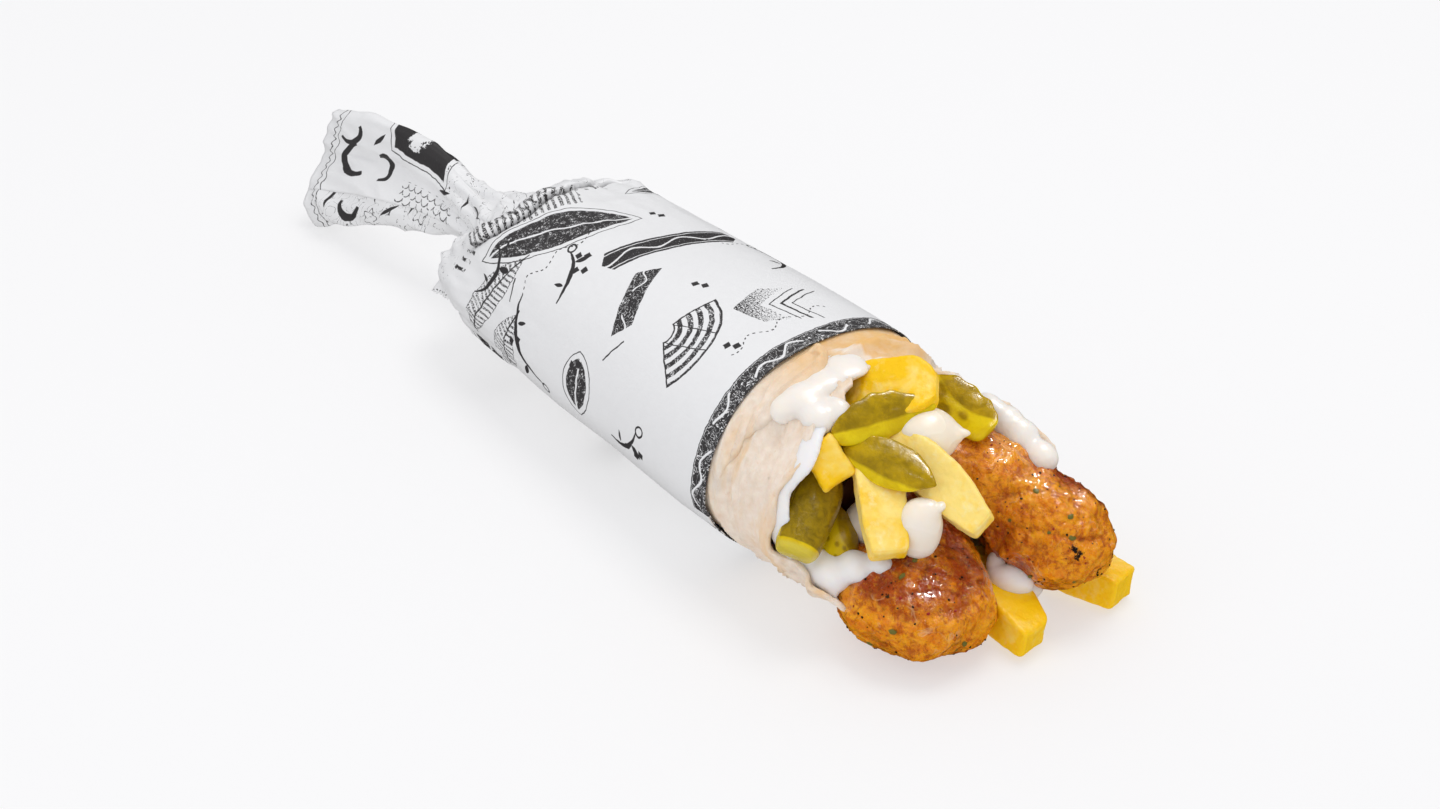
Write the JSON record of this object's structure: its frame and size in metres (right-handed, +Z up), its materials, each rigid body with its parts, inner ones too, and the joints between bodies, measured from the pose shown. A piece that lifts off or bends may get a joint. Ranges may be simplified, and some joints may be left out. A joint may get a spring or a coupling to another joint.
{
  "type": "half chicken saj wrap",
  "caption": "Flatbread wrap lying on its side in twisted printed paper, open at one end over grilled chicken, fries, pickles and garlic sauce.",
  "frame": {"origin": "middle of the footprint, on the table", "axes": "+X along the roll from the twisted tail to the open end, +Y to the far side, +Z up"},
  "size_m": [0.3122, 0.0846, 0.0648],
  "materials": {
    "paper": "thin white food paper with a slight sheen, creased, printed in black with a border band and plain ornaments",
    "bread": "matt, floury, wrinkled flatbread with tan baked patches",
    "fry": "golden fried potato, slightly oily, finely blistered",
    "pickle": "wet olive-green pickled cucumber with darker skin and seeds",
    "chicken": "glazed grilled chicken, amber to red-brown, charred at the high spots",
    "garlic_sauce": "thick smooth off-white garlic sauce, moist"
  },
  "bodies": {
    "root": {"paper_wrapper": "paper", "saj_bread": "bread", "chicken_filling": "chicken", "fry_top": "fry", "fry_block": "fry", "fry_long": "fry", "fry_upright": "fry", "fry_front": "fry", "fry_far": "fry", "pickle_under_top": "pickle", "pickle_middle": "pickle", "pickle_far": "pickle", "pickle_spear": "pickle", "pickle_stub": "pickle", "chicken_near": "chicken", "chicken_far": "chicken", "sauce_splash": "garlic_sauce", "sauce_dollop_far": "garlic_sauce", "sauce_dollop_near": "garlic_sauce", "sauce_wall": "garlic_sauce", "sauce_between": "garlic_sauce", "sauce_dab": "garlic_sauce", "garlic_sauce": "garlic_sauce"}
  },
  "joints": []
}
